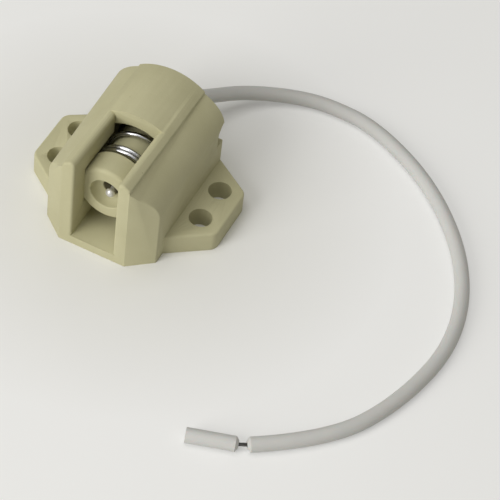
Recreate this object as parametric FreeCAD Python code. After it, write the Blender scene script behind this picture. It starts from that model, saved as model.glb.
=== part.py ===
"""Ceramic lamp holder for double-ended lamps, with a sprung contact plunger and its own lead.

X runs across the holder, Y from the open lamp slot to the back, Z up from the mounting face.
The origin is on the mounting face, half way along the body. All sizes are in millimetres.
"""
import FreeCAD
import Part
import math
import os
from FreeCAD import Vector

# Housing, the outside
BODY_DEPTH = 34.4
BODY_WIDTH = 26.8
STRIP_WIDTH = 16.0
STRIP_TOP = 26.2
STRIP_RADIUS = 13.4
SIDE_HEIGHT_FRONT = 13.7
SIDE_HEIGHT_BACK = 16.1
LOBE_RISE_FRONT = 10.0
LOBE_RISE_BACK = 8.6
LOBE_ROOT_DROP = 0.75
LOBE_ROOT_WIDTH = 2.0
LOBE_ROOT_SLOPE = 52.0
CORNER_CUT_DEPTH = 4.45
CERAMIC_EDGE = 0.5
MOUTH_EDGE = 0.6
REAR_EDGE = 0.3

# Housing, the inside
AXIS_HEIGHT = 13.5
SLOT_WIDTH = 10.2
SLOT_FLOOR = 2.2
SLOT_LIP = 1.1
SHOULDER_DEPTH = 5.2
WINDOW_DEPTH = 17.8
CHAMBER_RADIUS = 9.3

# Ears and fixing holes
HOLE_DIAMETER = 5.2
HOLE_STANDOFF = 4.1
HOLE_PITCH = 9.2
EAR_THICKNESS = 5.1
EAR_CENTRE_TO_BACK = 13.1
EAR_ROOT_DEPTH = 7.5
EAR_MARGIN = 5.2
EAR_END_MARGIN = 2.3
EAR_CORNER = 2.6

# Seats of the rear plate's lugs, in the back edge of the side walls
NOTCH_DEPTH = 2.9
NOTCH_BOTTOM = 11.2
NOTCH_HEIGHT = 5.8
NOTCH_CORNER = 2.9

# Plunger
HEAD_RADIUS = 6.9
HEAD_LENGTH = 6.1
HEAD_EDGE = 0.9
EDGE_STEPS = 2
CUP_RADIUS = 3.77
CUP_DEPTH = 2.4
CUP_STEPS = 5
LIP = 0.25
THROAT_RADIUS = 1.8
THROAT_LENGTH = 4.35
STEM_RADIUS = 5.3
STEM_BORE_RADIUS = 3.0
TRAVEL = 5.0
ROOM_AT_FULL_TRAVEL = 2.6

# Contact, its washer and the crimp
NOSE_RADIUS = 0.88
NOSE_LENGTH = 1.3
NOSE_REACH = 2.3
NECK_RADIUS = 0.6
FLANGE_THICKNESS = 0.8
TAIL_RADIUS = 1.0
TAIL_LENGTH = 3.6
WASHER_THICKNESS = 0.5
FERRULE_WALL = 0.4
FERRULE_LENGTH = 6.0
STRIPPED_LENGTH = 1.4

# Spring
WIRE_DIAMETER = 1.04
COIL_PITCH_CLOSED = 1.1
CLOSED_TURNS_FRONT = 2.0
CLOSED_TURNS_BACK = 1.5
ACTIVE_TURNS = 2.5
CHORDS_PER_TURN = 16
WIRE_SIDES = 10

# Rear plate
PLATE_THICKNESS = 1.0
LUG_INSET = 1.0

# Lead
LEAD_DIAMETER = 3.3
STRAND_DIAMETER = 0.8
STRAND_GAP = 2.3
STRAND_TURN = 17.0
SLUG_LENGTH = 10.6
CORNER_SHARE = 0.45

# Clearances
GUIDE_CLEARANCE = 0.45
FIT_CLEARANCE = 0.05
PLATE_CLEARANCE = 0.2
LEAD_CLEARANCE = 0.35
COIL_CLEARANCE = 0.33

# How far cutters run past what they cut, and how close two places are that count as one
OVERCUT = 1.0
SAME_PLACE = 0.01

# Places and sizes that follow
FRONT = -BODY_DEPTH / 2
BACK = BODY_DEPTH / 2
ACROSS = Vector(1, 0, 0)
ALONG = Vector(0, 1, 0)
UP = Vector(0, 0, 1)
SHOULDER_HEIGHT = STRIP_TOP - STRIP_RADIUS + math.sqrt(STRIP_RADIUS ** 2 - STRIP_WIDTH ** 2 / 4)
HOLE_SPAN = BODY_WIDTH + 2 * HOLE_STANDOFF
EAR_SPAN = HOLE_SPAN + 2 * EAR_MARGIN
EAR_TIP_LENGTH = HOLE_PITCH + 2 * EAR_END_MARGIN
HEAD_FRONT = FRONT + SHOULDER_DEPTH
HEAD_BACK = HEAD_FRONT + HEAD_LENGTH
CUP_FLOOR = HEAD_FRONT + CUP_DEPTH
CONTACT_SEAT = CUP_FLOOR + THROAT_LENGTH
WASHER_FRONT = CONTACT_SEAT + FLANGE_THICKNESS
FERRULE_FRONT = WASHER_FRONT + WASHER_THICKNESS
FERRULE_BACK = FERRULE_FRONT + FERRULE_LENGTH
TAIL_BACK = WASHER_FRONT + TAIL_LENGTH
NOTCH_FRONT = BACK - NOTCH_DEPTH
PLATE_FRONT = NOTCH_FRONT
PLATE_BACK = PLATE_FRONT + PLATE_THICKNESS
STEM_BACK = PLATE_FRONT - ROOM_AT_FULL_TRAVEL - TRAVEL
LEAD_RADIUS = LEAD_DIAMETER / 2
STRAND_RADIUS = STRAND_DIAMETER / 2
WIRE_RADIUS = WIRE_DIAMETER / 2
COIL_RADIUS = STEM_RADIUS + COIL_CLEARANCE + WIRE_RADIUS
GUIDE_RADIUS = HEAD_RADIUS + GUIDE_CLEARANCE
INSULATION_FRONT = FERRULE_BACK + STRIPPED_LENGTH
EAR_CENTRE = BACK - EAR_CENTRE_TO_BACK

# Route of the free lead: straight out of the rear plate, down to the surface, then one loose loop.
LEAD_ROUTE = [
    Vector(0.0, PLATE_BACK, AXIS_HEIGHT),
    Vector(0.1, 19.8, 13.4),
    Vector(0.8, 23.6, 12.0),
    Vector(2.3, 27.6, 9.5),
    Vector(4.3, 32.4, 6.9),
    Vector(7.2, 37.6, 4.7),
    Vector(11.8, 42.2, 3.0),
    Vector(18.0, 46.0, 1.9),
    Vector(25.5, 48.0, LEAD_RADIUS),
    Vector(38.6, 47.2, LEAD_RADIUS),
    Vector(57.4, 36.7, LEAD_RADIUS),
    Vector(72.5, 19.1, LEAD_RADIUS),
    Vector(78.6, -0.8, LEAD_RADIUS),
    Vector(74.8, -21.3, LEAD_RADIUS),
    Vector(66.0, -37.6, LEAD_RADIUS),
    Vector(52.5, -46.8, LEAD_RADIUS),
]


def box(x, y, z):
    """A block between the low and high values given for each direction."""
    block = Part.makeBox(x[1] - x[0], y[1] - y[0], z[1] - z[0])
    block.translate(Vector(x[0], y[0], z[0]))
    return block


def rod(radius, start, end):
    """A cylinder on the holder's axis, from start to end along Y."""
    return Part.makeCylinder(radius, end - start, Vector(0, start, AXIS_HEIGHT), ALONG)


def turned(profile):
    """A solid of revolution about the holder's axis, from (radius, y) corners."""
    points = [Vector(radius, y, AXIS_HEIGHT) for radius, y in profile]
    face = Part.Face(Part.makePolygon(points + points[:1]))
    return face.revolve(Vector(0, 0, AXIS_HEIGHT), ALONG, 360)


def edges_where(solid, test):
    """The solid's edges whose middle point passes the test."""
    found = []
    for edge in solid.Edges:
        middle = edge.valueAt((edge.FirstParameter + edge.LastParameter) / 2)
        if test(middle, edge):
            found.append(edge)
    return found


def near(value, target):
    return abs(value - target) < SAME_PLACE


def along(edge, direction):
    """True for a straight edge that runs along the direction."""
    ends = edge.Vertexes
    if len(ends) < 2:
        return False
    span = ends[-1].Point - ends[0].Point
    return near(span.Length, edge.Length) and span.cross(direction).Length < SAME_PLACE


def slot_space():
    """The lamp slot and the window behind it, open to the front and to the top."""
    half = SLOT_WIDTH / 2
    return box((-half, half), (FRONT - OVERCUT, FRONT + WINDOW_DEPTH), (SLOT_FLOOR, STRIP_TOP + OVERCUT))


def strip():
    """The raised middle of the body: flat sides, a round top, and the lamp slot open to the front."""
    half = STRIP_WIDTH / 2
    half_slot = SLOT_WIDTH / 2
    left_bottom = Vector(-half, FRONT, 0)
    right_bottom = Vector(half, FRONT, 0)
    right_top = Vector(half, FRONT, SHOULDER_HEIGHT)
    crown = Vector(0, FRONT, STRIP_TOP)
    left_top = Vector(-half, FRONT, SHOULDER_HEIGHT)
    outline = Part.Wire([
        Part.makeLine(left_bottom, right_bottom),
        Part.makeLine(right_bottom, right_top),
        Part.Arc(right_top, crown, left_top).toShape(),
        Part.makeLine(left_top, left_bottom),
    ])
    solid = Part.Face(outline).extrude(Vector(0, BODY_DEPTH, 0)).cut(slot_space())

    def slot_lip(point, edge):
        return along(edge, ALONG) and near(abs(point.x), half_slot) and point.z > AXIS_HEIGHT

    def slot_mouth(point, edge):
        return along(edge, UP) and near(abs(point.x), half_slot) and near(point.y, FRONT)

    def in_crown(point):
        return point.z > SHOULDER_HEIGHT or near(point.z, SHOULDER_HEIGHT)

    def front_and_sides(point, edge):
        at_side = along(edge, ALONG) and near(abs(point.x), half)
        return in_crown(point) and (near(point.y, FRONT) or at_side)

    def rear_rim(point, edge):
        return in_crown(point) and near(point.y, BACK)

    solid = solid.makeFillet(SLOT_LIP, edges_where(solid, slot_lip))
    solid = solid.makeFillet(MOUTH_EDGE, edges_where(solid, slot_mouth))
    solid = solid.makeFillet(CERAMIC_EDGE, edges_where(solid, front_and_sides))
    return solid.makeChamfer(REAR_EDGE, edges_where(solid, rear_rim))


def lobe_outline(y, side_height, rise):
    """The body's full-width outline: upright sides under half an ellipse."""
    half = BODY_WIDTH / 2
    arc = Part.Arc(Vector(half, 0, 0), Vector(0, 0, half), Vector(-half, 0, 0)).toShape()
    flatten = FreeCAD.Matrix()
    flatten.scale(1, 1, rise / half)
    crown = arc.transformGeometry(flatten)
    crown.translate(Vector(0, y, side_height))
    right_bottom = Vector(half, y, 0)
    left_bottom = Vector(-half, y, 0)
    return Part.Wire([
        Part.makeLine(left_bottom, right_bottom),
        Part.makeLine(right_bottom, Vector(half, y, side_height)),
        crown.Edges[0],
        Part.makeLine(Vector(-half, y, side_height), left_bottom),
    ])


def right_lobe():
    """The lower right side of the body. It rises towards the back, and its front corner is cut off."""
    inside = STRIP_WIDTH / 2
    cut_back = FRONT + CORNER_CUT_DEPTH
    front = lobe_outline(FRONT, SIDE_HEIGHT_FRONT, LOBE_RISE_FRONT)
    back = lobe_outline(BACK, SIDE_HEIGHT_BACK, LOBE_RISE_BACK)
    solid = Part.makeLoft([front, back], True, True)
    solid = solid.cut(box((-BODY_WIDTH, inside), (FRONT - OVERCUT, BACK + OVERCUT), (-OVERCUT, STRIP_TOP)))
    solid = solid.cut(corner_cut())

    def outer(point):
        return not near(point.z, 0) and not near(point.x, inside)

    def round_cut(point, edge):
        return outer(point) and (point.y < cut_back or near(point.y, cut_back))

    def rear_rim(point, edge):
        return outer(point) and near(point.y, BACK)

    solid = solid.makeFillet(CERAMIC_EDGE, edges_where(solid, round_cut))
    return solid.makeChamfer(REAR_EDGE, edges_where(solid, rear_rim))


def corner_cut():
    """Cutter for the slanted front corner of the right lobe."""
    inside = STRIP_WIDTH / 2
    cut_back = FRONT + CORNER_CUT_DEPTH
    points = [
        Vector(inside, FRONT, 0),
        Vector(BODY_WIDTH / 2, cut_back, 0),
        Vector(BODY_WIDTH, cut_back, 0),
        Vector(BODY_WIDTH, FRONT, 0),
    ]
    return Part.Face(Part.makePolygon(points + points[:1])).extrude(Vector(0, 0, STRIP_TOP))


def lobe_root():
    """The slope between the strip's side and the right lobe, which the rising lobe covers at the back."""
    inside = STRIP_WIDTH / 2
    outside = inside + LOBE_ROOT_WIDTH
    high = SHOULDER_HEIGHT - LOBE_ROOT_DROP
    low = high - LOBE_ROOT_WIDTH * math.tan(math.radians(LOBE_ROOT_SLOPE))
    points = [Vector(inside, FRONT, low), Vector(outside, FRONT, low), Vector(inside, FRONT, high)]
    slope = Part.Face(Part.makePolygon(points + points[:1]))
    return slope.extrude(Vector(0, BODY_DEPTH - 2 * CERAMIC_EDGE, 0)).cut(corner_cut())


def ears():
    """The drilled mounting flange, wider at its roots than at its tips."""
    root_front = FRONT + EAR_ROOT_DEPTH
    tip_front = EAR_CENTRE - EAR_TIP_LENGTH / 2
    tip_back = EAR_CENTRE + EAR_TIP_LENGTH / 2
    half_body = BODY_WIDTH / 2
    half_span = EAR_SPAN / 2
    corners = [
        (-half_body, root_front),
        (half_body, root_front),
        (half_span, tip_front),
        (half_span, tip_back),
        (half_body, BACK),
        (-half_body, BACK),
        (-half_span, tip_back),
        (-half_span, tip_front),
    ]
    points = [Vector(x, y, 0) for x, y in corners]
    solid = Part.Face(Part.makePolygon(points + points[:1])).extrude(Vector(0, 0, EAR_THICKNESS))
    tips = edges_where(solid, lambda p, e: along(e, UP) and near(abs(p.x), half_span))
    solid = solid.makeFillet(EAR_CORNER, tips)
    rims = edges_where(solid, lambda p, e: near(p.z, EAR_THICKNESS) and abs(p.x) > half_body)
    return solid.makeFillet(CERAMIC_EDGE, rims)


def fixing_holes():
    """Drills for the four fixing holes."""
    drills = []
    for side in (-1, 1):
        for row in (-1, 1):
            place = Vector(side * HOLE_SPAN / 2, EAR_CENTRE + row * HOLE_PITCH / 2, -OVERCUT)
            drills.append(Part.makeCylinder(HOLE_DIAMETER / 2, EAR_THICKNESS + 2 * OVERCUT, place, UP))
    return drills


def lug_notches():
    """Cutters for the two notches in the back edge, square below and round above."""
    notch = box((0, BODY_WIDTH), (NOTCH_FRONT, BACK + NOTCH_CORNER + OVERCUT),
                (NOTCH_BOTTOM, NOTCH_BOTTOM + NOTCH_HEIGHT))
    upper = edges_where(notch, lambda p, e: along(e, ACROSS) and near(p.y, NOTCH_FRONT) and p.z > AXIS_HEIGHT)
    right = notch.makeFillet(NOTCH_CORNER, upper)
    return [right, mirrored(right)]


def mirrored(solid):
    """The same solid on the other side of the holder."""
    return solid.mirror(Vector(0, 0, 0), ACROSS)


def housing():
    """The pressed ceramic body."""
    right = right_lobe()
    root = lobe_root()
    sides = [right, mirrored(right), root, mirrored(root)]
    body = strip().fuse(sides + [ears().cut(slot_space())]).removeSplitter()
    guide = rod(GUIDE_RADIUS, HEAD_FRONT, FRONT + WINDOW_DEPTH)
    chamber = rod(CHAMBER_RADIUS, FRONT + WINDOW_DEPTH, BACK + OVERCUT)
    return body.cut([guide, chamber] + lug_notches() + fixing_holes())


def quarter_curve(radius, y, outward, forward, steps):
    """Profile corners along a quarter ellipse about (radius, y), from its front or back to its outside."""
    angles = [math.pi / 2 * step / steps for step in range(steps + 1)]
    return [(radius + outward * math.sin(angle), y - forward * math.cos(angle)) for angle in angles]


def plunger_sleeve():
    """The sliding ceramic plunger: a bowl for the lamp's end, a throat round the contact, and a stem."""
    bowl_width = CUP_RADIUS - THROAT_RADIUS
    bowl = quarter_curve(THROAT_RADIUS, HEAD_FRONT + LIP, bowl_width, LIP - CUP_DEPTH, CUP_STEPS)
    edge = quarter_curve(HEAD_RADIUS - HEAD_EDGE, HEAD_FRONT + HEAD_EDGE, HEAD_EDGE, HEAD_EDGE, EDGE_STEPS)
    lip = [(CUP_RADIUS + LIP, HEAD_FRONT)]
    back = [
        (HEAD_RADIUS, HEAD_BACK - LIP),
        (HEAD_RADIUS - LIP, HEAD_BACK),
        (STEM_RADIUS, HEAD_BACK),
        (STEM_RADIUS, STEM_BACK),
        (STEM_BORE_RADIUS, STEM_BACK),
        (STEM_BORE_RADIUS, CONTACT_SEAT),
        (THROAT_RADIUS, CONTACT_SEAT),
    ]
    return turned(bowl + lip + edge + back)


def contact_pin():
    """Contact with a round-nosed head on a neck. Its flange sits against the end of the throat."""
    nose_front = CUP_FLOOR - NOSE_REACH
    nose_centre = Vector(0, nose_front + NOSE_RADIUS, AXIS_HEIGHT)
    head_back = nose_front + NOSE_LENGTH
    flange_radius = STEM_BORE_RADIUS - FIT_CLEARANCE
    nose = Part.makeSphere(NOSE_RADIUS, nose_centre)
    nose = nose.common(rod(NOSE_RADIUS + OVERCUT, nose_front - OVERCUT, nose_centre.y))
    head = rod(NOSE_RADIUS, nose_centre.y, head_back)
    neck = rod(NECK_RADIUS, head_back, CONTACT_SEAT)
    flange = rod(flange_radius, CONTACT_SEAT, WASHER_FRONT)
    tail = rod(TAIL_RADIUS, WASHER_FRONT, TAIL_BACK)
    return nose.fuse([head, neck, flange, tail]).removeSplitter()


def contact_washer():
    """Steel washer pressed in behind the contact's flange."""
    disc = rod(STEM_BORE_RADIUS - FIT_CLEARANCE / 2, WASHER_FRONT, FERRULE_FRONT)
    return disc.cut(rod(TAIL_RADIUS + FIT_CLEARANCE, WASHER_FRONT - OVERCUT, FERRULE_FRONT + OVERCUT))


def crimp_ferrule():
    """Tube crimped over the contact's tail at the front and the lead's strand at the back."""
    tail_bore = TAIL_RADIUS + FIT_CLEARANCE / 2
    strand_bore = STRAND_RADIUS + FIT_CLEARANCE / 2
    return turned([
        (tail_bore, FERRULE_FRONT),
        (tail_bore + FERRULE_WALL, FERRULE_FRONT),
        (tail_bore + FERRULE_WALL, FERRULE_BACK),
        (strand_bore, FERRULE_BACK),
        (strand_bore, TAIL_BACK),
        (tail_bore, TAIL_BACK),
    ])


def inner_conductor():
    """The lead's strand inside the holder, from the contact's tail to the rear plate."""
    return rod(STRAND_RADIUS, TAIL_BACK, PLATE_BACK)


def inner_lead():
    """The lead's insulation inside the holder, which slides through the rear plate."""
    insulation = rod(LEAD_RADIUS, INSULATION_FRONT, PLATE_BACK)
    bore = rod(STRAND_RADIUS + FIT_CLEARANCE / 2, INSULATION_FRONT - OVERCUT, PLATE_BACK + OVERCUT)
    return insulation.cut(bore)


def rear_plate():
    """Steel disc that closes the spring chamber, with a lug in each side notch and a hole for the lead."""
    reach = BODY_WIDTH / 2 - LUG_INSET
    lug_low = NOTCH_BOTTOM + PLATE_CLEARANCE
    lug_high = NOTCH_BOTTOM + NOTCH_HEIGHT - NOTCH_CORNER
    disc = rod(CHAMBER_RADIUS - PLATE_CLEARANCE, PLATE_FRONT, PLATE_BACK)
    lugs = box((-reach, reach), (PLATE_FRONT, PLATE_BACK), (lug_low, lug_high))
    hole = rod(LEAD_RADIUS + LEAD_CLEARANCE, PLATE_FRONT - OVERCUT, PLATE_BACK + OVERCUT)
    return disc.fuse(lugs).removeSplitter().cut(hole)


def coil_rise(turn):
    """How far along Y the coil's centre line has come after so many turns."""
    closed_front = CLOSED_TURNS_FRONT * COIL_PITCH_CLOSED
    closed_back = CLOSED_TURNS_BACK * COIL_PITCH_CLOSED
    whole = PLATE_FRONT - HEAD_BACK - WIRE_DIAMETER
    open_pitch = (whole - closed_front - closed_back) / ACTIVE_TURNS
    if turn <= CLOSED_TURNS_FRONT:
        return turn * COIL_PITCH_CLOSED
    if turn <= CLOSED_TURNS_FRONT + ACTIVE_TURNS:
        return closed_front + (turn - CLOSED_TURNS_FRONT) * open_pitch
    turns_left = CLOSED_TURNS_FRONT + ACTIVE_TURNS + CLOSED_TURNS_BACK - turn
    return whole - turns_left * COIL_PITCH_CLOSED


def compression_spring():
    """Right-hand coil between the head and the rear plate, in short straight lengths of round wire."""
    turns = CLOSED_TURNS_FRONT + ACTIVE_TURNS + CLOSED_TURNS_BACK
    steps = int(round(turns * CHORDS_PER_TURN))
    start = HEAD_BACK + WIRE_RADIUS
    points = []
    for step in range(steps + 1):
        turn = step / CHORDS_PER_TURN
        angle = 2 * math.pi * turn
        x = COIL_RADIUS * math.cos(angle)
        z = AXIS_HEIGHT - COIL_RADIUS * math.sin(angle)
        points.append(Vector(x, start + coil_rise(turn), z))
    path = Part.makePolygon(points)
    mitred = 1
    return path.makePipeShell([wire_section(points[0], points[1] - points[0])], True, True, mitred)


def wire_section(centre, heading):
    """The spring wire's section at its free end, with flats for a round wire to keep its faces few."""
    outward = Vector(ACROSS) * WIRE_RADIUS
    outward = outward - heading * (outward.dot(heading) / heading.dot(heading))
    corners = []
    for side in range(WIRE_SIDES):
        turn = FreeCAD.Rotation(heading, 360 * side / WIRE_SIDES)
        corners.append(centre + turn.multVec(outward))
    return Part.makePolygon(corners + corners[:1])


def rounded_path(points):
    """Straight runs with a tangent arc at each point, as large as its two runs allow."""
    edges = []
    radii = []
    last = points[0]
    for before, corner, after in zip(points, points[1:], points[2:]):
        inward = (before - corner).normalize()
        outward = (after - corner).normalize()
        half_turn = (math.pi - inward.getAngle(outward)) / 2
        cut_back = CORNER_SHARE * min((corner - before).Length, (after - corner).Length)
        radius = cut_back / math.tan(half_turn)
        arc_start = corner + inward * cut_back
        arc_end = corner + outward * cut_back
        to_centre = (inward + outward).normalize()
        arc_middle = corner + to_centre * (radius / math.cos(half_turn) - radius)
        edges.append(Part.LineSegment(last, arc_start).toShape())
        edges.append(Part.Arc(arc_start, arc_middle, arc_end).toShape())
        radii.append(radius)
        last = arc_end
    edges.append(Part.LineSegment(last, points[-1]).toShape())
    return Part.Wire(edges), radii


def outer_lead():
    """The free lead, from the rear plate to its cut end."""
    path, radii = rounded_path(LEAD_ROUTE)
    section = Part.Wire([Part.makeCircle(LEAD_RADIUS, LEAD_ROUTE[0], LEAD_ROUTE[1] - LEAD_ROUTE[0])])
    solid = path.makePipeShell([section], True, True)
    share = solid.Volume / (math.pi * LEAD_RADIUS ** 2 * path.Length)
    print("lead: length %.1f mm, volume / (section x length) %.4f" % (path.Length, share))
    print("lead: arc radii " + ", ".join("%.1f" % radius for radius in radii))
    return solid


def strand_arc():
    """The bare strand's centre line: it leaves the lead's end and turns a little into the slug."""
    start = LEAD_ROUTE[-1]
    heading = (LEAD_ROUTE[-1] - LEAD_ROUTE[-2]).normalize()
    half_turn = math.radians(STRAND_TURN) / 2
    turn = FreeCAD.Rotation(UP, -math.degrees(half_turn))
    quarter = FreeCAD.Rotation(UP, -math.degrees(half_turn) / 2)
    end = start + turn.multVec(heading) * STRAND_GAP
    middle = start + quarter.multVec(heading) * (STRAND_GAP / 2 / math.cos(half_turn / 2))
    return Part.Arc(start, middle, end).toShape()


def bare_conductor():
    """The stretch of strand that shows between the lead's cut end and the slug."""
    arc = strand_arc()
    section = Part.Wire([Part.makeCircle(STRAND_RADIUS, LEAD_ROUTE[-1], arc.tangentAt(arc.FirstParameter))])
    return Part.Wire([arc]).makePipeShell([section], True, True)


def cut_slug():
    """The short piece of insulation left on the end of the strand."""
    arc = strand_arc()
    end = arc.LastParameter
    return Part.makeCylinder(LEAD_RADIUS, SLUG_LENGTH, arc.valueAt(end), arc.tangentAt(end))


NODES = {
    "housing": housing,
    "rear_plate": rear_plate,
    "compression_spring": compression_spring,
    "plunger_sleeve": plunger_sleeve,
    "contact_pin": contact_pin,
    "contact_washer": contact_washer,
    "crimp_ferrule": crimp_ferrule,
    "inner_conductor": inner_conductor,
    "inner_lead": inner_lead,
    "outer_lead": outer_lead,
    "bare_conductor": bare_conductor,
    "cut_slug": cut_slug,
}

os.makedirs("parts", exist_ok=True)
for name, make in NODES.items():
    shape = make()
    print("%s: %s, valid %s, %.2f mm3" % (name, shape.ShapeType, shape.isValid(), shape.Volume))
    shape.exportStep("parts/%s.step" % name)
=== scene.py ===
"""Ceramic lamp holder for double-ended lamps: its finishes, its sprung plunger and its own lead.

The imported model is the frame. Everything is in metres and in the model's own axes: X runs across
the holder, Y from the open lamp slot to the back, Z up from the mounting face.
"""
import bmesh
import bpy
import math
from bpy.props import FloatProperty, FloatVectorProperty, PointerProperty
from bpy.types import Operator, Panel, PropertyGroup
from mathutils import Matrix, Vector


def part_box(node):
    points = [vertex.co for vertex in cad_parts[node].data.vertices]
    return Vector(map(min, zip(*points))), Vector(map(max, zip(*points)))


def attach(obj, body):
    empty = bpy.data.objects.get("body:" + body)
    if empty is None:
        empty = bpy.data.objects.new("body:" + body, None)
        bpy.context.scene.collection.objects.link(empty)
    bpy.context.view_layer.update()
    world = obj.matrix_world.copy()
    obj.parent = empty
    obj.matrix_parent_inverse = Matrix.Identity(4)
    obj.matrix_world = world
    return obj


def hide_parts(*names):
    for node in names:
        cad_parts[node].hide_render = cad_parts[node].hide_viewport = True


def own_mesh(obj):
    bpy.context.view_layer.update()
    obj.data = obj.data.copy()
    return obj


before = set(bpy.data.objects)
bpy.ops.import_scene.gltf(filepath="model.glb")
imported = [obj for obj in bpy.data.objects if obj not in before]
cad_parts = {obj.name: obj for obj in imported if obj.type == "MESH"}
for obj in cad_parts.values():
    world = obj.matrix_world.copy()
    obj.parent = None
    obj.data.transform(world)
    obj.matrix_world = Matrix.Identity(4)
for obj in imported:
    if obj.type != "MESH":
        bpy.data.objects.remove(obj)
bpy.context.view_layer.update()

bl_info = {
    "name": "Ceramic lamp holder",
    "version": (1, 0, 0),
    "blender": (4, 5, 0),
    "location": "3D View > Sidebar > Lamp holder",
    "description": "Builds the visible pieces of a ceramic holder for double-ended lamps",
    "category": "Object",
}

# Where the pieces start and end, and the plunger's axis
HOUSING_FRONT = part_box("housing")[0].y
PLATE_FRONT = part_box("rear_plate")[0].y
SLEEVE_LOW, SLEEVE_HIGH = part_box("plunger_sleeve")
PIN_LOW, PIN_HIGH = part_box("contact_pin")
SPRING_LOW, SPRING_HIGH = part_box("compression_spring")
AXIS_X = (SLEEVE_LOW.x + SLEEVE_HIGH.x) / 2
AXIS_Z = (SLEEVE_LOW.z + SLEEVE_HIGH.z) / 2
HEAD_RADIUS = (SLEEVE_HIGH.x - SLEEVE_LOW.x) / 2
AXIS = Vector((0, 1, 0))
UP = Vector((0, 0, 1))
MM = 0.001

# Lengths below which two points count as one, for each kind of work
SAME = 0.01 * MM
SLIVER = 0.05 * MM
DOUBLE = 0.002 * MM
NO_STEP = 0.001 * MM

# How far faces may turn and still be one flat face, and how well a normal has to fit a direction
FLAT = math.radians(0.5)
FACING = 0.9

# The strand and its insulation, and how the cone on a torn end is shared out
STRAND_ROOM = 0.05 * MM
STRAND_INSIDE = 0.4 * MM
OUTER_WIRES = 6
WIRES_ACROSS = 3
LEAD_SIDES = 28
CONE_TIP_SHARE = 0.3
CONE_WALL_SHARE = 0.22
CONE_BORE_SHARE = 1.5

# Fixed edges and tones of the small pieces
PLATE_EDGE = 0.12 * MM
# Width over which the painted shade inside the plunger's bore fades out.
BORE_SHADE_EDGE = 0.15 * MM
ZINC_TONE = (176, 174, 166)
WHITE = (1.0, 1.0, 1.0)
STRAND_ROUGHNESS = (0.25, 0.4)

# Where the camera stands for the photograph, how it is turned, and where the lamps point
CAMERA_PLACE = (0.145889, -0.315209, 0.389599)
CAMERA_TURN = (40.572, -5.333, 26.446)
CAMERA_LENS = 171.27
LAMP_AIM = Vector((0.02, 0, 0.01))

# Route of the free lead: out of the rear plate, down to the surface, then one loose loop
LEAD_LOW = 0.00165
LEAD_ROUTE = [
    (0.0, 0.0153, 0.0135),
    (0.0001, 0.0198, 0.0134),
    (0.0008, 0.0236, 0.0120),
    (0.0023, 0.0276, 0.0095),
    (0.0043, 0.0324, 0.0069),
    (0.0072, 0.0376, 0.0047),
    (0.0118, 0.0422, 0.0030),
    (0.0180, 0.0460, 0.0019),
    (0.0255, 0.0480, LEAD_LOW),
    (0.0386, 0.0472, LEAD_LOW),
    (0.0574, 0.0367, LEAD_LOW),
    (0.0725, 0.0191, LEAD_LOW),
    (0.0786, -0.0008, LEAD_LOW),
    (0.0748, -0.0213, LEAD_LOW),
    (0.0660, -0.0376, LEAD_LOW),
    (0.0525, -0.0468, LEAD_LOW),
]


def tone(red, green, blue):
    """A colour as the screen shows it, 0 to 255, as the linear values that a shader takes."""
    linear = []
    for channel in (red, green, blue):
        share = channel / 255
        if share <= 0.04045:
            linear.append(share / 12.92)
        else:
            linear.append(((share + 0.055) / 1.055) ** 2.4)
    return linear


def dimmed(colour, level):
    """The colour at a share of its own brightness."""
    return [channel * level for channel in colour]


def length_property(name, description, default):
    return FloatProperty(name=name, description=description, default=default, min=0.0,
                         precision=5, unit="LENGTH")


def colour_property(name, description, default):
    return FloatVectorProperty(name=name, description=description, default=default, subtype="COLOR",
                               min=0, max=1)


def number_property(name, description, default, **options):
    return FloatProperty(name=name, description=description, default=default, **options)


class CeramicSettings(PropertyGroup):
    soft_edge: length_property(
        "Soft edge", "Width of the round on the housing's sharp edges", 0.22 * MM)
    strip_width: length_property(
        "Strip width", "Width of the middle strip between the lobes", 16 * MM)
    strip_corner: length_property(
        "Strip corner", "Rounding of the middle strip's front corners", 0.5 * MM)
    seam_top: length_property(
        "Seam top", "Height up to which the lobes meet the strip in front", 22.9 * MM)
    body: colour_property("Body", "Colour of the fired steatite", tone(185, 181, 146))
    pale: colour_property("Pale", "Lighter clouds in the steatite", tone(194, 190, 156))
    speck: colour_property("Speck", "Small dark inclusions", tone(120, 110, 84))
    # Painted shade: the colour that the inside of the plunger's throat turns to, standing in for
    # the shade in that narrow bore.
    painted_bore_shade: colour_property("Soil", "Metal dust in the bore round the contact", tone(125, 119, 100))


class PlungerSettings(PropertyGroup):
    head_length: length_property("Head length", "Length of the wide front part", 6.1 * MM)
    head_edge: length_property("Head edge", "Rounding of the head's front rim", 0.9 * MM)
    cup_radius: length_property("Cup radius", "Radius of the bowl for the lamp's end", 3.77 * MM)
    cup_depth: length_property("Cup depth", "Depth of the bowl", 2.4 * MM)
    lip: length_property(
        "Lip", "Rounding of the rims of the bowl, the throat and the head's back", 0.25 * MM)
    throat_radius: length_property(
        "Throat radius", "Radius of the hole round the contact", 1.8 * MM)
    throat_length: length_property("Throat length", "Length of that hole", 4.35 * MM)
    stem_radius: length_property(
        "Stem radius", "Outer radius of the stem inside the spring", 5.3 * MM)
    bore_radius: length_property("Bore radius", "Radius of the stem's bore", 3.0 * MM)


class ContactSettings(PropertyGroup):
    nose_radius: length_property("Nose radius", "Radius of the contact's round nose", 1.06 * MM)
    nose_depth: length_property("Nose depth", "How far the nose is domed", 0.85 * MM)
    nose_length: length_property("Nose length", "Length of the contact's head", 1.05 * MM)
    nose_rim: length_property("Nose rim", "Rounding of the back of the head", 0.1 * MM)
    neck_radius: length_property("Neck radius", "Radius of the neck behind the head", 0.5 * MM)
    flange_thickness: length_property(
        "Flange thickness", "Thickness of the flange in the stem", 0.8 * MM)
    tail_radius: length_property("Tail radius", "Radius of the crimped tail", 1.0 * MM)
    lean: length_property(
        "Lean", "How far the loose head lies to one side of the throat", 0.6 * MM)
    metal: colour_property("Metal", "Colour of the nickel plating", tone(226, 225, 222))


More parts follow.
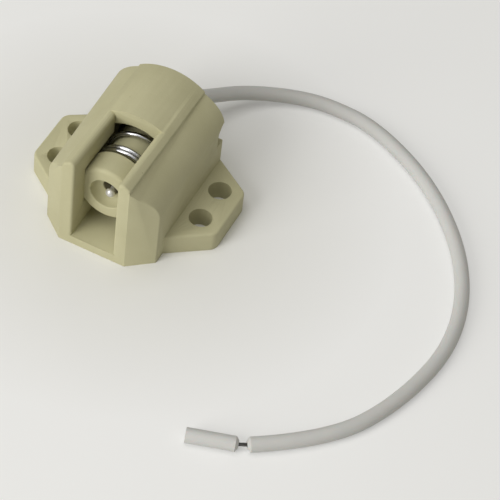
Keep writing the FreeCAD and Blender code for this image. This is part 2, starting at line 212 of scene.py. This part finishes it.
class SpringSettings(PropertyGroup):
    wire: length_property("Wire", "Diameter of the spring wire", 1.04 * MM)
    closed_pitch: length_property("Closed pitch", "Rise of one closed turn", 1.1 * MM)
    closed_front: number_property("Closed turns in front", "Turns against the head", 2.0)
    closed_back: number_property("Closed turns behind", "Turns against the plate", 1.5)
    active: number_property("Open turns", "Turns that spring", 2.5)
    steel: colour_property("Steel", "Colour of the spring steel", tone(196, 196, 198))


class LeadSettings(PropertyGroup):
    diameter: length_property("Diameter", "Outer diameter of the lead", 3.3 * MM)
    strand: length_property("Strand", "Diameter of the stranded conductor", 0.8 * MM)
    gap: length_property("Gap", "Bare strand between the lead's end and the slug", 2.3 * MM)
    cone: length_property(
        "Cone", "Length of the cone on each torn end of the insulation", 0.6 * MM)
    turn: number_property(
        "Turn", "Turn of the strand in the gap, in radians", math.radians(17), subtype="ANGLE")
    twist: number_property("Twist", "Turns of the outer wires along the bare strand", 0.6)
    slug_length: length_property(
        "Slug length", "Length of the loose piece of insulation", 10.6 * MM)
    silicone: colour_property("Silicone", "Colour of the insulation", tone(205, 205, 203))
    tin: colour_property("Strand colour", "Colour of the tinned strand", tone(92, 90, 88))


class StageSettings(PropertyGroup):
    floor: colour_property("Floor", "Colour of the floor", tone(236, 236, 234))
    # Painted light and shade on the floor: it glows white to the camera away from the holder and
    # stays darker, as painted shade, close to it.
    glow: number_property("Glow", "How far the floor turns white away from the holder", 0.35)
    glow_start: length_property("Glow start", "Where the floor starts to turn white", 24 * MM)
    glow_end: length_property("Glow end", "Where it is as white as it gets", 60 * MM)
    key_power: number_property("Key light", "Power of the large lamp", 4.9, unit="POWER")
    top_power: number_property("Top light", "Power of the lamp overhead", 2.3, unit="POWER")
    world_level: number_property("World level", "Strength of the light all round", 0.24)
    world_tint: colour_property("World tint", "Colour of the light all round", (1.0, 0.96, 0.83))
    reflected: number_property("Reflected level", "Strength of what shiny pieces reflect", 0.55)


class LampHolderSettings(PropertyGroup):
    ceramic: PointerProperty(
        name="Ceramic", description="The housing, and the fired surface", type=CeramicSettings)
    plunger: PointerProperty(
        name="Plunger", description="The turned ceramic plunger", type=PlungerSettings)
    contact: PointerProperty(
        name="Contact", description="The round-nosed contact", type=ContactSettings)
    spring: PointerProperty(
        name="Spring", description="The compression spring", type=SpringSettings)
    lead: PointerProperty(
        name="Lead", description="The lead and its cut end", type=LeadSettings)
    stage: PointerProperty(
        name="Stage", description="The floor, the lamps and the surroundings", type=StageSettings)


class Socket:
    """A shader socket that can be used in arithmetic: each operation adds the Math node for it."""

    def __init__(self, maker, output):
        self.maker = maker
        self.output = output

    def math(self, operation, first, second):
        return self.maker.node("ShaderNodeMath", {"operation": operation}, {0: first, 1: second})

    def __add__(self, other):
        return self.math("ADD", self, other)

    def __radd__(self, other):
        return self.math("ADD", other, self)

    def __mul__(self, other):
        return self.math("MULTIPLY", self, other)

    def __rmul__(self, other):
        return self.math("MULTIPLY", other, self)


class NodeMaker:
    """Fills in a node tree: each node that it adds is given back as the socket to go on from."""

    def __init__(self, tree):
        self.tree = tree

    def plug(self, node, inputs):
        """Links or sets the node's inputs, each named or numbered."""
        for key, value in inputs.items():
            socket = node.inputs[key]
            if isinstance(value, Socket):
                self.tree.links.new(value.output, socket)
            elif socket.type == "RGBA":
                socket.default_value = (*value, 1.0)
            else:
                socket.default_value = value

    def node(self, kind, settings=None, inputs=None, output=0):
        """Adds a node, with its settings first and then its inputs."""
        node = self.tree.nodes.new(kind)
        for key, value in (settings or {}).items():
            setattr(node, key, value)
        self.plug(node, inputs or {})
        return Socket(self, node.outputs[output])

    def blend(self, share, first, second):
        """One colour turning into another as the share goes from 0 to 1."""
        inputs = {0: share, 6: first, 7: second}
        return self.node("ShaderNodeMix", {"data_type": "RGBA"}, inputs, output=2)


class Finish(NodeMaker):
    """A material while it is made: its node tree, and the shader that the tree feeds."""

    def __init__(self, name):
        self.material = bpy.data.materials.new(name)
        self.material.use_nodes = True
        super().__init__(self.material.node_tree)
        self.shader = self.tree.nodes["Principled BSDF"]

    def place(self):
        """Where a point of the surface is, in the piece's own frame."""
        return self.node("ShaderNodeTexCoord", output="Object")

    def noise(self, where, waves, detail, roughness=0.5):
        """Cloudy noise from 0 to 1, with so many waves to the metre."""
        inputs = {"Vector": where, "Scale": waves, "Detail": detail, "Roughness": roughness}
        return self.node("ShaderNodeTexNoise", None, inputs)

    def stretched(self, where, scale):
        """The place with each axis scaled, for a pattern drawn out along a piece."""
        return self.node("ShaderNodeMapping", None, {"Vector": where, "Scale": scale})

    def spread(self, value, span, onto):
        """The value mapped from one span to another, and held at the ends."""
        inputs = {
            "Value": value,
            "From Min": span[0],
            "From Max": span[1],
            "To Min": onto[0],
            "To Max": onto[1],
        }
        return self.node("ShaderNodeMapRange", {"clamp": True}, inputs)

    def bump(self, height, depth, strength):
        """A normal from a height from 0 to 1, where 1 stands so many metres proud."""
        inputs = {"Height": height, "Distance": depth, "Strength": strength}
        return self.node("ShaderNodeBump", None, inputs)

    def shade(self, **inputs):
        """Sets the shader's own inputs, with spaces for underscores, and gives the material."""
        self.plug(self.shader, {key.replace("_", " "): value for key, value in inputs.items()})
        return self.material


def steatite(name, settings, cloud_waves, grain_depth, bore=0.0):
    """Fired steatite: matt, faintly clouded, with a sandy grain, dark specks and, where a bore
    radius is given, painted shade inside the bore.
    """
    finish = Finish(name)
    where = finish.place()
    cloudy = finish.noise(where, cloud_waves, detail=4.0)
    grain = finish.noise(where, waves=2600.0, detail=3.0, roughness=0.6)
    pitted = finish.noise(where, waves=900.0, detail=2.0)
    specked = finish.noise(where, waves=1500.0, detail=1.0)
    clouds = finish.spread(cloudy, span=(0.35, 0.7), onto=(0.0, 0.55))
    pores = finish.spread(pitted, span=(0.3, 0.45), onto=(0.0, 1.0))
    specks = finish.spread(specked, span=(0.8, 0.86), onto=(0.0, 0.6))
    clean = finish.blend(clouds, settings.body, settings.pale)
    colour = finish.blend(specks, clean, settings.speck)
    # Painted shade in the throat: within the bore's radius of the axis the colour turns to the
    # painted bore shade.
    if bore:
        across = finish.stretched(where, (1.0, 0.0, 1.0))
        ends = {0: across, 1: (AXIS_X, 0.0, AXIS_Z)}
        measure = {"operation": "DISTANCE"}
        off_axis = finish.node("ShaderNodeVectorMath", measure, ends, output="Value")
        painted_bore_shade = finish.spread(off_axis, span=(bore, bore + BORE_SHADE_EDGE), onto=(0.85, 0.0))
        colour = finish.blend(painted_bore_shade, colour, settings.painted_bore_shade)
    height = grain * 0.6 + pores * 0.4
    return finish.shade(
        Base_Color=colour,
        Roughness=finish.spread(grain, span=(0.3, 0.7), onto=(0.62, 0.76)),
        Normal=finish.bump(height, depth=grain_depth, strength=0.35),
        Specular_IOR_Level=0.35,
    )


def spring_steel(name, settings):
    """Drawn spring wire: bright, with faint darker stretches and fine die lines."""
    finish = Finish(name)
    where = finish.place()
    stretches = finish.noise(where, waves=260.0, detail=2.0)
    lines = finish.noise(where, waves=5200.0, detail=2.0)
    darker = finish.spread(stretches, span=(0.35, 0.65), onto=(0.0, 0.6))
    return finish.shade(
        Base_Color=finish.blend(darker, settings.steel, dimmed(settings.steel, level=0.62)),
        Metallic=1.0,
        Roughness=finish.spread(stretches + lines * 0.5, span=(0.5, 1.0), onto=(0.14, 0.3)),
        Normal=finish.bump(lines, depth=0.004 * MM, strength=0.2),
    )


def plated_metal(name, colour, roughness, shine=1.0):
    """Plated or rolled metal with a faint cloudiness, and duller where its shine is under 1."""
    finish = Finish(name)
    where = finish.place()
    clouds = finish.noise(where, waves=420.0, detail=3.0)
    scratches = finish.noise(finish.stretched(where, (1.0, 1.0, 9.0)), waves=2400.0, detail=2.0)
    return finish.shade(
        Base_Color=finish.blend(clouds, colour, dimmed(colour, level=0.8)),
        Metallic=shine,
        Roughness=finish.spread(clouds, span=(0.3, 0.7), onto=roughness),
        Normal=finish.bump(scratches, depth=0.005 * MM, strength=0.25),
    )


def silicone(name, settings):
    """Soft silicone insulation: pale, satin, with a faint mottle and a fine powdery bloom."""
    finish = Finish(name)
    where = finish.place()
    mottle = finish.noise(where, waves=330.0, detail=3.0)
    bloom = finish.noise(where, waves=2100.0, detail=2.0)
    shade = dimmed(settings.silicone, level=0.93)
    return finish.shade(
        Base_Color=finish.blend(mottle, settings.silicone, shade),
        Roughness=finish.spread(bloom, span=(0.3, 0.7), onto=(0.48, 0.62)),
        Normal=finish.bump(mottle * 0.7 + bloom * 0.3, depth=0.03 * MM, strength=0.3),
        Subsurface_Weight=0.08,
        Subsurface_Scale=0.6 * MM,
        Specular_IOR_Level=0.4,
    )


def pick_nothing():
    bpy.ops.object.select_all(action="DESELECT")


def pick(piece):
    """Makes the piece the only one selected, and the active one."""
    pick_nothing()
    piece.select_set(True)
    bpy.context.view_layer.objects.active = piece


def edit(piece):
    """Opens the piece in edit mode."""
    pick(piece)
    bpy.ops.object.mode_set(mode="EDIT")


def leave_edit():
    bpy.ops.object.mode_set(mode="OBJECT")


def choose(piece, kind, test):
    """In edit mode, selects the verts, edges or faces that pass the test, and nothing else."""
    modes = {"verts": "VERT", "edges": "EDGE", "faces": "FACE"}
    bpy.ops.mesh.select_mode(type=modes[kind])
    bpy.ops.mesh.select_all(action="DESELECT")
    mesh = bmesh.from_edit_mesh(piece.data)
    for element in getattr(mesh, kind):
        if test(element):
            element.select_set(True)
    mesh.select_flush_mode()
    bmesh.update_edit_mesh(piece.data)


def apply_all(piece):
    """Applies the piece's modifiers in order."""
    pick(piece)
    for modifier in list(piece.modifiers):
        bpy.ops.object.modifier_apply(modifier=modifier.name)


def face_outwards():
    """In edit mode, merges doubles and turns every face outwards."""
    bpy.ops.mesh.select_all(action="SELECT")
    bpy.ops.mesh.remove_doubles(threshold=DOUBLE)
    bpy.ops.mesh.normals_make_consistent(inside=False)


def finish_piece(piece, name, body, material, nodes, sharp=35):
    """Names a finished piece, gives it its material, hangs it on the body that it rides on and
    hides the nodes that it takes the place of.
    """
    pick(piece)
    bpy.ops.object.transform_apply(location=True, rotation=True, scale=True)
    bpy.ops.object.shade_smooth_by_angle(angle=math.radians(sharp))
    piece.name = name
    piece.data.name = name
    piece.data.materials.clear()
    piece.data.materials.append(material)
    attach(piece, body)
    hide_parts(*nodes)
    return piece


def dress(node, material):
    """Gives a node of the frame its material."""
    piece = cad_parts[node]
    piece.data.materials.clear()
    piece.data.materials.append(material)


def merged_copy(node):
    """A copy of a node's mesh as a new object, with its loose triangles merged."""
    piece = bpy.data.objects.new(node + "_copy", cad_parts[node].data.copy())
    bpy.context.collection.objects.link(piece)
    edit(piece)
    face_outwards()
    leave_edit()
    return piece


def soften(piece, width, angle):
    """Makes flat faces whole and rounds the edges that turn by more than the angle, in degrees."""
    edit(piece)
    bpy.ops.mesh.select_all(action="SELECT")
    bpy.ops.mesh.dissolve_limited(angle_limit=FLAT)
    leave_edit()
    edge = piece.modifiers.new("soft_edge", "BEVEL")
    edge.width = width
    edge.segments = 3
    edge.limit_method = "ANGLE"
    edge.angle_limit = math.radians(angle)
    edge.harden_normals = True
    edge.miter_outer = "MITER_ARC"
    apply_all(piece)


def lathe(corners, rounds, closed, steps):
    """Draws a profile of (radius, y) corners, rounds some and spins it about the plunger's axis."""
    pick_nothing()
    radius, y = corners[0]
    bpy.ops.mesh.primitive_plane_add(size=MM, location=(AXIS_X + radius, y, AXIS_Z))
    piece = bpy.context.object
    bpy.ops.object.transform_apply(location=True, rotation=True, scale=True)
    edit(piece)
    bpy.ops.mesh.select_mode(type="VERT")
    bpy.ops.mesh.select_all(action="SELECT")
    bpy.ops.mesh.merge(type="CENTER")
    for (radius, y), (next_radius, next_y) in zip(corners, corners[1:]):
        step = Vector((next_radius - radius, next_y - y, 0))
        if step.length > NO_STEP:
            bpy.ops.mesh.extrude_vertices_move(TRANSFORM_OT_translate={"value": step})
    if closed:
        choose(piece, "verts", lambda vert: len(vert.link_edges) == 1)
        bpy.ops.mesh.edge_face_add()
    for (radius, y), amount in rounds:
        corner = Vector((AXIS_X + radius, y, AXIS_Z))
        choose(piece, "verts", lambda vert: (vert.co - corner).length < SAME)
        bpy.ops.mesh.bevel(offset=amount, segments=6, affect="VERTICES")
    bpy.ops.mesh.select_all(action="SELECT")
    bpy.ops.mesh.spin(steps=steps, angle=2 * math.pi, center=(AXIS_X, 0, AXIS_Z), axis=AXIS)
    face_outwards()
    leave_edit()
    return piece


def quarter_curve(radius, y, outward, forward, steps=8):
    """Profile corners along a quarter ellipse about (radius, y), from its end to its side."""
    angles = [math.pi / 2 * step / steps for step in range(steps + 1)]
    return [(radius + outward * math.sin(angle), y - forward * math.cos(angle)) for angle in angles]


def curve_object(name, points, kind):
    """A curve of one open spline through or under the points."""
    curve = bpy.data.curves.new(name, "CURVE")
    curve.dimensions = "3D"
    spline = curve.splines.new(kind)
    spline.points.add(len(points) - 1)
    for target, point in zip(spline.points, points):
        target.co = (*point, 1.0)
    if kind == "NURBS":
        spline.order_u = 3
        spline.use_endpoint_u = True
    piece = bpy.data.objects.new(name, curve)
    bpy.context.collection.objects.link(piece)
    return piece


def line_of(piece):
    """The points that an unbevelled curve object draws."""
    bpy.context.view_layer.update()
    mesh = bpy.data.meshes.new_from_object(piece)
    points = [vertex.co.copy() for vertex in mesh.vertices]
    bpy.data.meshes.remove(mesh)
    return points


def wire_from(piece, radius, sides):
    """Gives a curve a round section and makes it a mesh."""
    piece.data.bevel_depth = radius
    piece.data.bevel_resolution = (sides - 4) // 2
    piece.data.use_fill_caps = True
    pick(piece)
    bpy.ops.object.convert(target="MESH")
    wire = bpy.context.object
    edit(wire)
    face_outwards()
    leave_edit()
    return wire


def stripped_end(piece, end, outward, radius, bore, cone):
    """Shapes a torn end of insulation: a short cone, then a bore that the strand comes out of."""
    def cap(face):
        near = (face.calc_center_median() - end).length < radius
        return near and face.normal.dot(outward) > FACING

    edit(piece)
    choose(piece, "faces", cap)
    bpy.ops.transform.translate(value=outward * (-cone / 2))
    bpy.ops.mesh.extrude_region_move(TRANSFORM_OT_translate={"value": outward * cone})
    tip = end + outward * (cone / 2)
    wall = radius - bore
    share = (bore + wall * CONE_TIP_SHARE) / radius
    bpy.ops.transform.resize(value=(share, share, share), center_override=tip)
    bpy.ops.mesh.inset(thickness=wall * CONE_WALL_SHARE)
    inward = outward * (-CONE_BORE_SHARE * cone)
    bpy.ops.mesh.extrude_region_move(TRANSFORM_OT_translate={"value": inward})
    face_outwards()
    leave_edit()


class LAMPHOLDER_OT_camera(Operator):
    """Stand the camera where the photograph was taken"""
    bl_idname = "lampholder.camera"
    bl_label = "Camera"

    def execute(self, context):
        camera = bpy.data.cameras.new("photo_camera")
        camera.lens = CAMERA_LENS
        camera.clip_start = 0.01
        camera.clip_end = 10.0
        stand = bpy.data.objects.new("photo_camera", camera)
        stand.location = CAMERA_PLACE
        stand.rotation_euler = [math.radians(angle) for angle in CAMERA_TURN]
        context.collection.objects.link(stand)
        context.scene.camera = stand
        return {"FINISHED"}


class LAMPHOLDER_OT_lead(Operator):
    """Lay the free lead on its route, with the bare strand and the loose slug at its cut end"""
    bl_idname = "lampholder.lead"
    bl_label = "Lead"

    def execute(self, context):
        settings = context.scene.lamp_holder.lead
        radius = settings.diameter / 2
        bore = settings.strand / 2 + STRAND_ROOM
        rubber = silicone("silicone_insulation", settings)
        route = curve_object("outer_lead_line", LEAD_ROUTE, "NURBS")
        route.data.resolution_u = 16
        line = line_of(route)
        heading = (line[-1] - line[-2]).normalized()
        lead = wire_from(route, radius, LEAD_SIDES)
        stripped_end(lead, line[-1], heading, radius, bore, settings.cone)
        finish_piece(lead, "silicone_lead", "plunger", rubber, ["outer_lead"])

        slug_start, leaving = self.past_gap(settings, line[-1], heading)
        slug = self.slug(settings, rubber, slug_start, leaving, bore)
        strand = self.strand(settings, line[-1], heading, slug_start, leaving)
        return {"FINISHED"}

    def past_gap(self, settings, end, heading):
        """Where the slug starts beyond the lead's end, and which way it lies."""
        across = Matrix.Rotation(-settings.turn / 2, 3, "Z") @ heading
        leaving = Matrix.Rotation(-settings.turn, 3, "Z") @ heading
        return end + across * settings.gap, leaving

    def slug(self, settings, rubber, start, leaving, bore):
        """The loose piece of insulation that sits on the end of the strand."""
        radius = settings.diameter / 2
        centre = start + leaving * (settings.slug_length / 2)
        turn = UP.rotation_difference(leaving).to_euler()
        pick_nothing()
        bpy.ops.mesh.primitive_cylinder_add(vertices=LEAD_SIDES, radius=radius,
                                            depth=settings.slug_length,
                                            location=centre, rotation=turn)
        slug = bpy.context.object
        bpy.ops.object.transform_apply(location=True, rotation=True, scale=True)
        stripped_end(slug, start, -leaving, radius, bore, settings.cone)
        return finish_piece(slug, "loose_slug", "plunger", rubber, ["cut_slug"])

    def strand(self, settings, end, heading, slug_start, leaving):
        """The bare strand in the gap, which reaches a little way into both pieces of insulation."""
        path = [
            end - heading * STRAND_INSIDE,
            end,
            end.lerp(slug_start, 0.5),
            slug_start,
            slug_start + leaving * STRAND_INSIDE,
        ]
        wires = [self.wire(settings, path, index) for index in range(1 + OUTER_WIRES)]
        pick_nothing()
        for wire in wires:
            wire.select_set(True)
        bpy.context.view_layer.objects.active = wires[0]
        bpy.ops.object.join()
        tin = plated_metal("tinned_strand", settings.tin, STRAND_ROUGHNESS)
        return finish_piece(wires[0], "bare_strand", "plunger", tin, ["bare_conductor"])

    def wire(self, settings, path, index):
        """One wire of the strand: the first is straight, and the rest lie round it with a twist."""
        fine = settings.strand / WIRES_ACROSS / 2
        out = 0.0 if index == 0 else 2 * fine
        steps = 16
        points = []
        for step in range(steps + 1):
            share = step / steps * (len(path) - 1)
            run = min(int(share), len(path) - 2)
            centre = path[run].lerp(path[run + 1], share - run)
            ahead = (path[run + 1] - path[run]).normalized()
            side = ahead.cross(UP).normalized()
            angle = math.tau * (index / OUTER_WIRES + settings.twist * step / steps)
            points.append(centre + (side * math.cos(angle) + UP * math.sin(angle)) * out)
        line = curve_object("wire_%d" % index, points, "NURBS")
        line.data.resolution_u = 4
        return wire_from(line, fine, sides=8)


class LAMPHOLDER_OT_housing(Operator):
    """Soften the edges of the pressed ceramic housing and give it its fired surface"""
    bl_idname = "lampholder.housing"
    bl_label = "Housing"

    def execute(self, context):
        settings = context.scene.lamp_holder.ceramic
        body = merged_copy("housing")
        self.fill_seams(body, settings)
        soften(body, settings.soft_edge, angle=32)
        fired = steatite("housing_steatite", settings, cloud_waves=130.0, grain_depth=0.05 * MM)
        finish_piece(body, "ceramic_housing", "holder", fired, ["housing"], sharp=40)
        return {"FINISHED"}

    def fill_seams(self, body, settings):
        """Brings the strip's rounded front corners out to the lobes, so that no seam shows."""
        side = settings.strip_width / 2
        corner = settings.strip_corner + SAME

        def in_seam(vert):
            across = side - abs(vert.co.x)
            inward = vert.co.y - HOUSING_FRONT
            return -SAME < across < corner and inward < corner and vert.co.z < settings.seam_top

        def at_seam_top(vert):
            across = abs(abs(vert.co.x) - side)
            inward = vert.co.y - HOUSING_FRONT
            above = abs(vert.co.z - settings.seam_top)
            return max(across, inward, above) < 2 * settings.strip_corner

        edit(body)
        choose(body, "verts", in_seam)
        bpy.ops.transform.resize(value=(1, 0, 1), center_override=(0, HOUSING_FRONT, 0))
        face_outwards()
        choose(body, "verts", at_seam_top)
        bpy.ops.mesh.dissolve_degenerate(threshold=SLIVER)
        leave_edit()


class LAMPHOLDER_OT_plunger(Operator):
    """Turn the ceramic plunger: its cup, its throat and its hollow stem"""
    bl_idname = "lampholder.plunger"
    bl_label = "Plunger"

    def execute(self, context):
        look = context.scene.lamp_holder
        settings = look.plunger
        front = SLEEVE_LOW.y
        head_back = front + settings.head_length
        cup_floor = front + settings.cup_depth
        seat = cup_floor + settings.throat_length
        back = SLEEVE_HIGH.y
        lip = settings.lip
        edge = settings.head_edge
        throat = settings.throat_radius + lip
        cup = settings.cup_radius + lip
        throat_rim = quarter_curve(throat, cup_floor + lip, -lip, lip)[::-1]
        bowl = quarter_curve(throat, front + lip, settings.cup_radius - throat,
                             lip - settings.cup_depth, steps=14)
        cup_rim = quarter_curve(cup, front + lip, -lip, lip)[::-1]
        head_rim = quarter_curve(HEAD_RADIUS - edge, front + edge, edge, edge)
        head_rear = quarter_curve(HEAD_RADIUS - lip, head_back - lip, lip, -lip)[::-1]
        stem_end = (settings.stem_radius, back)
        stem = [(settings.stem_radius, head_back), stem_end, (settings.bore_radius, back),
                (settings.bore_radius, seat), (settings.throat_radius, seat)]
        corners = throat_rim + bowl + cup_rim + head_rim + head_rear + stem
        sleeve = lathe(corners, [(stem_end, lip)], closed=True, steps=96)
        fired = steatite("plunger_steatite", look.ceramic, cloud_waves=190.0,
                         grain_depth=0.035 * MM, bore=settings.throat_radius)
        finish_piece(sleeve, "ceramic_plunger", "plunger", fired, ["plunger_sleeve"])
        return {"FINISHED"}


class LAMPHOLDER_OT_contact(Operator):
    """Turn the round-nosed contact, and finish the washer and ferrule behind it"""
    bl_idname = "lampholder.contact"
    bl_label = "Contact"

    def execute(self, context):
        settings = context.scene.lamp_holder.contact
        nose = settings.nose_radius
        flange_radius = (PIN_HIGH.x - PIN_LOW.x) / 2
        seat = SLEEVE_LOW.y + context.scene.lamp_holder.plunger.cup_depth
        seat += context.scene.lamp_holder.plunger.throat_length
        flange_back = seat + settings.flange_thickness
        head_back = (nose, PIN_LOW.y + settings.nose_length)
        neck_front = (settings.neck_radius, head_back[1])
        corners = quarter_curve(0.0, PIN_LOW.y + settings.nose_depth, nose, settings.nose_depth,
                                steps=12)
        corners += [head_back, neck_front, (settings.neck_radius, seat), (flange_radius, seat),
                    (flange_radius, flange_back), (settings.tail_radius, flange_back),
                    (settings.tail_radius, PIN_HIGH.y), (0.0, PIN_HIGH.y)]
        pin = lathe(corners, [(head_back, settings.nose_rim)], closed=False, steps=48)
        edit(pin)
        choose(pin, "verts", lambda vert: vert.co.y < seat - SAME)
        bpy.ops.transform.translate(value=(settings.lean, 0, 0))
        leave_edit()
        nickel = plated_metal("nickel_plating", settings.metal, (0.26, 0.38), shine=0.45)
        finish_piece(pin, "round_contact", "plunger", nickel, ["contact_pin"])
        for node in ("contact_washer", "crimp_ferrule"):
            dress(node, nickel)
        return {"FINISHED"}


class LAMPHOLDER_OT_spring(Operator):
    """Wind the compression spring round the plunger's stem"""
    bl_idname = "lampholder.spring"
    bl_label = "Spring"

    def execute(self, context):
        settings = context.scene.lamp_holder.spring
        radius = (SPRING_HIGH.x - SPRING_LOW.x) / 2 - settings.wire / 2
        turns = settings.closed_front + settings.active + settings.closed_back
        steps_per_turn = 44
        steps = round(turns * steps_per_turn)
        start = SPRING_LOW.y + settings.wire / 2
        points = []
        for step in range(steps + 1):
            turn = step / steps_per_turn
            angle = math.tau * turn
            points.append((AXIS_X + radius * math.cos(angle), start + self.rise(settings, turn),
                           AXIS_Z - radius * math.sin(angle)))
        coil = wire_from(curve_object("coil_line", points, "POLY"), settings.wire / 2, sides=16)
        steel = spring_steel("drawn_spring_steel", settings)
        finish_piece(coil, "coil_spring", "holder", steel, ["compression_spring"])
        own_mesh(coil)
        return {"FINISHED"}

    def rise(self, settings, turn):
        """How far along the axis the wire has come after so many turns."""
        whole = PLATE_FRONT - SPRING_LOW.y - settings.wire
        front = settings.closed_front * settings.closed_pitch
        back = settings.closed_back * settings.closed_pitch
        pitch = (whole - front - back) / settings.active
        if turn <= settings.closed_front:
            return turn * settings.closed_pitch
        if turn <= settings.closed_front + settings.active:
            return front + (turn - settings.closed_front) * pitch
        left = settings.closed_front + settings.active + settings.closed_back - turn
        return whole - left * settings.closed_pitch


class LAMPHOLDER_OT_rear_plate(Operator):
    """Finish the rear plate, and the stretch of lead inside the holder"""
    bl_idname = "lampholder.rear_plate"
    bl_label = "Rear plate"

    def execute(self, context):
        look = context.scene.lamp_holder
        plate = merged_copy("rear_plate")
        soften(plate, PLATE_EDGE, angle=50)
        zinc = plated_metal("zinc_plated_steel", tone(*ZINC_TONE), (0.28, 0.45))
        finish_piece(plate, "closing_plate", "holder", zinc, ["rear_plate"])
        dress("inner_lead", silicone("inner_silicone", look.lead))
        tin = plated_metal("inner_strand_metal", look.lead.tin, STRAND_ROUGHNESS)
        dress("inner_conductor", tin)
        return {"FINISHED"}


class LAMPHOLDER_OT_stage(Operator):
    """Set the floor, the soft lamps and the pale surroundings"""
    bl_idname = "lampholder.stage"
    bl_label = "Stage"

    def execute(self, context):
        settings = context.scene.lamp_holder.stage
        pick_nothing()
        bpy.ops.mesh.primitive_plane_add(size=3.0, location=(0, 0, 0))
        floor = bpy.context.object
        floor.name = "studio_floor"
        floor.data.materials.append(self.floor_material(settings))
        self.lamp("key_lamp", place=(-0.31, -0.69, 0.37), size=(0.42, 0.66),
                  power=settings.key_power, colour=(1.0, 0.993, 0.978))
        self.lamp("top_lamp", place=(-0.07, -0.08, 0.84), size=(0.6, 0.6),
                  power=settings.top_power, colour=(1.0, 1.0, 0.99))
        self.surroundings(context, settings)
        context.scene.view_settings.view_transform = "Standard"
        return {"FINISHED"}

    def floor_material(self, settings):
        """Matt pale floor with a painted white glow that grows away from the holder, so that the
        floor round the holder stays darker as painted shade; it keeps the lamps' shadow.
        """
        finish = Finish("pale_floor")
        where = finish.place()
        grain = finish.noise(where, waves=60.0, detail=2.0)
        measure = {"operation": "LENGTH"}
        distance = finish.node("ShaderNodeVectorMath", measure, {0: where}, output="Value")
        # The glow is held back near the holder, which leaves painted shade round it.
        reach = (settings.glow_start, settings.glow_end)
        share = finish.spread(distance, span=reach, onto=(0.0, settings.glow))
        colour = settings.floor
        finish.shade(
            Base_Color=finish.blend(grain, colour, dimmed(colour, level=0.985)),
            Roughness=0.9,
            Specular_IOR_Level=0.1,
        )
        glow = finish.node("ShaderNodeEmission", None, {"Color": WHITE, "Strength": 1.0})
        seen = finish.node("ShaderNodeLightPath", output="Is Camera Ray")
        mixed = finish.node("ShaderNodeMixShader", None, {
            0: seen * share,
            1: Socket(finish, finish.shader.outputs[0]),
            2: glow,
        })
        output = finish.tree.nodes["Material Output"]
        finish.plug(output, {"Surface": mixed})
        return finish.material

    def lamp(self, name, place, size, power, colour):
        """A soft lamp of the width and height given, which faces the holder."""
        light = bpy.data.lights.new(name, "AREA")
        light.shape = "RECTANGLE"
        light.size, light.size_y = size
        light.energy = power
        light.color = colour
        lamp = bpy.data.objects.new(name, light)
        lamp.location = place
        aim = LAMP_AIM - Vector(place)
        lamp.rotation_euler = aim.to_track_quat("-Z", "Y").to_euler()
        bpy.context.collection.objects.link(lamp)

    def surroundings(self, context, settings):
        """A warm dim world that looks white to the camera and paler in reflections."""
        world = bpy.data.worlds.new("pale_surroundings")
        world.use_nodes = True
        context.scene.world = world
        sky = NodeMaker(world.node_tree)
        mirrored = sky.node("ShaderNodeLightPath", output="Is Glossy Ray")
        seen = sky.node("ShaderNodeLightPath", output="Is Camera Ray")
        dim = dimmed(settings.world_tint, settings.world_level)
        lit = sky.blend(mirrored, dim, dimmed(WHITE, settings.reflected))
        sky.plug(sky.tree.nodes["Background"], {"Color": sky.blend(seen, lit, WHITE)})


OPERATORS = (
    LAMPHOLDER_OT_camera,
    LAMPHOLDER_OT_lead,
    LAMPHOLDER_OT_housing,
    LAMPHOLDER_OT_plunger,
    LAMPHOLDER_OT_contact,
    LAMPHOLDER_OT_spring,
    LAMPHOLDER_OT_rear_plate,
    LAMPHOLDER_OT_stage,
)


class LAMPHOLDER_PT_pieces(Panel):
    """Lists the pieces of the lamp holder and their settings"""
    bl_idname = "LAMPHOLDER_PT_pieces"
    bl_label = "Lamp holder"
    bl_space_type = "VIEW_3D"
    bl_region_type = "UI"
    bl_category = "Lamp holder"

    def draw(self, context):
        look = context.scene.lamp_holder
        for operator in OPERATORS:
            self.layout.operator(operator.bl_idname)
        for group in ("ceramic", "plunger", "contact", "spring", "lead", "stage"):
            column = self.layout.column(heading=group)
            settings = getattr(look, group)
            for name in settings.bl_rna.properties.keys():
                if name not in ("rna_type", "name"):
                    column.prop(settings, name)


SETTINGS = (
    CeramicSettings,
    PlungerSettings,
    ContactSettings,
    SpringSettings,
    LeadSettings,
    StageSettings,
    LampHolderSettings,
)


def register():
    for kind in SETTINGS + OPERATORS + (LAMPHOLDER_PT_pieces,):
        bpy.utils.register_class(kind)
    bpy.types.Scene.lamp_holder = PointerProperty(type=LampHolderSettings)


def unregister():
    del bpy.types.Scene.lamp_holder
    for kind in reversed(SETTINGS + OPERATORS + (LAMPHOLDER_PT_pieces,)):
        bpy.utils.unregister_class(kind)


def main():
    register()
    bpy.ops.lampholder.camera()
    bpy.ops.lampholder.lead()
    bpy.ops.lampholder.housing()
    bpy.ops.lampholder.plunger()
    bpy.ops.lampholder.contact()
    bpy.ops.lampholder.spring()
    bpy.ops.lampholder.rear_plate()
    bpy.ops.lampholder.stage()


if __name__ == "__main__":
    main()
